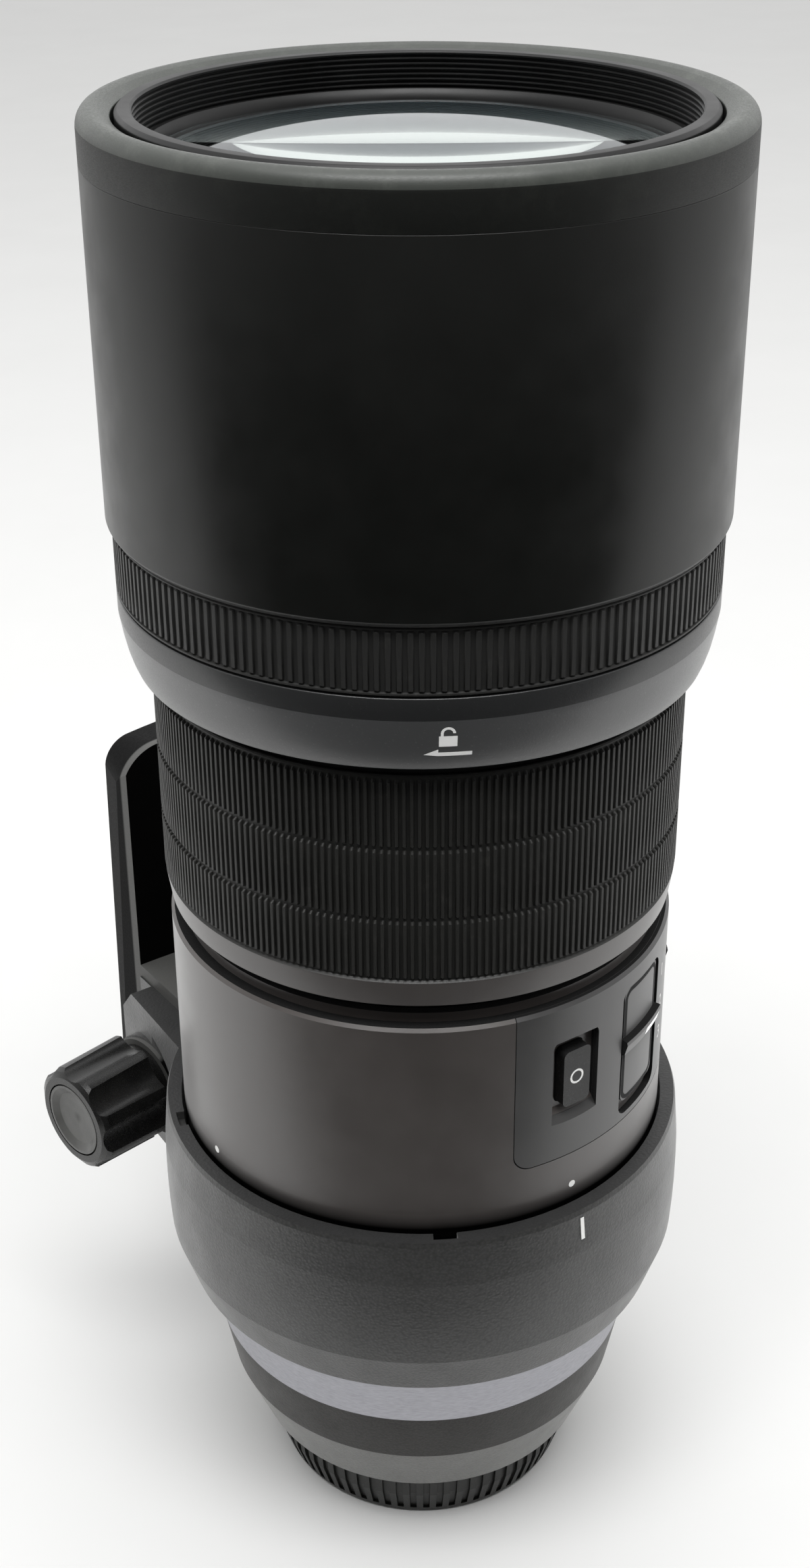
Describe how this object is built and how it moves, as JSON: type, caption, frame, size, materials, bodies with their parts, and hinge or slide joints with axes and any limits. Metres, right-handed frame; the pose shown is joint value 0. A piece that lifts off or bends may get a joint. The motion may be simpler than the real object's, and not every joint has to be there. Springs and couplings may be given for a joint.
{
  "type": "telephoto lens",
  "caption": "Long telephoto lens standing on its rear cap, with a retracted sliding hood, ribbed focus ring, switch panel, rotating tripod collar and a foot with a dovetail rail.",
  "frame": {"origin": "middle of the rear cap's resting face", "axes": "+Z along the optical axis towards the front glass, -Y towards the index line and the control keys, +Y towards the tripod foot"},
  "size_m": [0.094, 0.1178, 0.2401],
  "materials": {
    "black_anodised": "satin black",
    "crackle_grey": "crackle dark grey",
    "cast_grey": "satin dark grey",
    "grip_rubber": "matte ribbed",
    "bumper_rubber": "matte",
    "black_plastic": "matte",
    "key_plastic": "satin",
    "flocking": "flocked black",
    "mount_chrome": "polished",
    "steel": "brushed",
    "gold_contact": "polished",
    "optical_glass": "coated",
    "aluminium_part": "machined",
    "board_green": "lacquered",
    "chip_black": "moulded",
    "ribbon_amber": "film",
    "copper_coil": "wound",
    "liner_nylon": "smooth"
  },
  "bodies": {
    "barrel": {"mount_plate": "mount_chrome", "mount_screws": "steel", "mount_seal": "bumper_rubber", "contact_block": "black_plastic", "contact_pins": "gold_contact", "rear_baffle": "black_anodised", "rear_cell": "black_anodised", "rear_element": "optical_glass", "rear_barrel": "crackle_grey", "switch_housing": "black_anodised", "control_panel": "black_plastic", "button_contact": "black_plastic", "guide_barrel": "aluminium_part", "distance_scale": "black_anodised", "shoulder_ring": "black_anodised", "front_barrel": "black_anodised", "front_cell": "black_anodised", "front_element": "optical_glass", "front_retainer": "black_anodised", "second_cell": "black_anodised", "second_element": "optical_glass", "light_baffle": "black_anodised", "main_chassis": "aluminium_part", "main_board": "board_green", "board_chips": "chip_black", "contact_ribbon": "ribbon_amber", "rod_plate_rear": "aluminium_part", "rod_plate_front": "aluminium_part", "guide_rods": "steel", "focus_magnet": "steel", "stabiliser_base": "aluminium_part", "iris_housing": "black_anodised", "iris_blades": "steel"},
    "cap": {"rear_cap": "black_plastic"},
    "collar": {"tripod_collar": "crackle_grey", "collar_liner": "liner_nylon", "knob_washer": "steel", "tripod_foot": "cast_grey", "foot_screws": "steel", "tripod_bushes": "steel"},
    "brake": {"brake_pin": "steel"},
    "clamp": {"clamp_knob": "black_plastic", "knob_cover": "black_plastic", "clamp_screw": "steel"},
    "function_key": {"function_button": "key_plastic"},
    "limit_key": {"focus_limit_switch": "key_plastic"},
    "steady_key": {"stabiliser_switch": "key_plastic"},
    "clutch": {"clutch_sleeve": "aluminium_part", "sleeve_retainer": "aluminium_part"},
    "focus_grip": {"focus_ring": "grip_rubber"},
    "hood": {"hood_tube": "black_anodised", "hood_liner": "flocking", "hood_bumper": "bumper_rubber"},
    "hood_lock": {"hood_lock_ring": "black_anodised"},
    "focus_group": {"focus_carrier": "black_plastic", "focus_lens": "optical_glass", "focus_coil": "copper_coil"},
    "steady_yoke": {"stabiliser_yoke": "black_plastic"},
    "steady_group": {"stabiliser_carrier": "black_plastic", "stabiliser_lens": "optical_glass"}
  },
  "joints": [
    {"name": "cap_twist", "type": "hinge", "parent": "barrel", "child": "cap", "pos_m": [0, 0, 0.0062], "axis": [0, 0, 1], "range_deg": [-60, 0]},
    {"name": "collar_turn", "type": "hinge", "parent": "barrel", "child": "collar", "pos_m": [0, 0, 0.058], "axis": [0, 0, 1], "continuous": true},
    {"name": "clamp_turn", "type": "hinge", "parent": "collar", "child": "clamp", "pos_m": [-0.0293, 0.0449, 0.062], "axis": [-0.9863, -0.165, 0], "range_deg": [-360, 0]},
    {"name": "brake_slide", "type": "slide", "parent": "collar", "child": "brake", "axis": [-0.165, 0.9863, 0], "range_m": [0, 0.0002]},
    {"name": "function_press", "type": "slide", "parent": "barrel", "child": "function_key", "axis": [0, 1, 0], "range_m": [0, 0.0008], "stiffness_N_per_m": 300},
    {"name": "limit_slide", "type": "slide", "parent": "barrel", "child": "limit_key", "axis": [0, 0, -1], "range_m": [0, 0.0022]},
    {"name": "steady_slide", "type": "slide", "parent": "barrel", "child": "steady_key", "axis": [0, 0, -1], "range_m": [0, 0.0022]},
    {"name": "clutch_pull", "type": "slide", "parent": "barrel", "child": "clutch", "axis": [0, 0, -1], "range_m": [0, 0.0038]},
    {"name": "focus_turn", "type": "hinge", "parent": "clutch", "child": "focus_grip", "pos_m": [0, 0, 0.138], "axis": [0, 0, 1], "continuous": true},
    {"name": "hood_extend", "type": "slide", "parent": "barrel", "child": "hood", "axis": [0, 0, 1], "range_m": [0, 0.044]},
    {"name": "hood_lock_turn", "type": "hinge", "parent": "hood", "child": "hood_lock", "pos_m": [0, 0, 0.1768], "axis": [0, 0, 1], "range_deg": [-20, 0]},
    {"name": "focus_travel", "type": "slide", "parent": "barrel", "child": "focus_group", "axis": [0, 0, 1], "range_m": [-0.012, 0.024]},
    {"name": "steady_across", "type": "slide", "parent": "barrel", "child": "steady_yoke", "axis": [1, 0, 0], "range_m": [-0.0008, 0.0008]},
    {"name": "steady_along", "type": "slide", "parent": "steady_yoke", "child": "steady_group", "axis": [0, 1, 0], "range_m": [-0.0008, 0.0008]}
  ]
}
